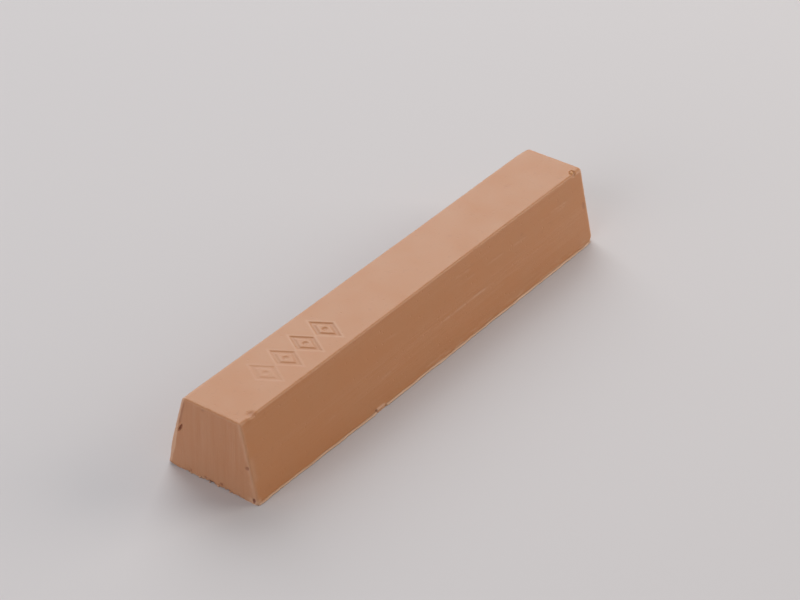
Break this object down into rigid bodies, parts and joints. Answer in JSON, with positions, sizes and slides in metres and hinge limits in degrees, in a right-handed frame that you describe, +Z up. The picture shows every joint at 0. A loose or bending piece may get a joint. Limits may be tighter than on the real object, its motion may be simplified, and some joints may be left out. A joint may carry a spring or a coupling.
{
  "type": "furniture repair wax stick",
  "caption": "Bar of hard filler wax with a narrow stamped top, leaning sides and a wide flat base, for filling dents in furniture.",
  "frame": {"origin": "middle of the scraped base, on the surface the bar rests on", "axes": "+X along the bar from the cut end with the stamp to the moulded end, +Z up from the wide base to the narrow stamped top"},
  "size_m": [0.0801, 0.016, 0.0115],
  "materials": {
    "wax": "tan hard wax, dull satin",
    "wax_thin": "the same tan wax where it is thin or freshly torn, slightly paler"
  },
  "bodies": {
    "root": {"wax_bar": "wax", "base_burr": "wax_thin", "end_crumbs": "wax_thin", "corner_bead": "wax_thin"}
  },
  "joints": []
}
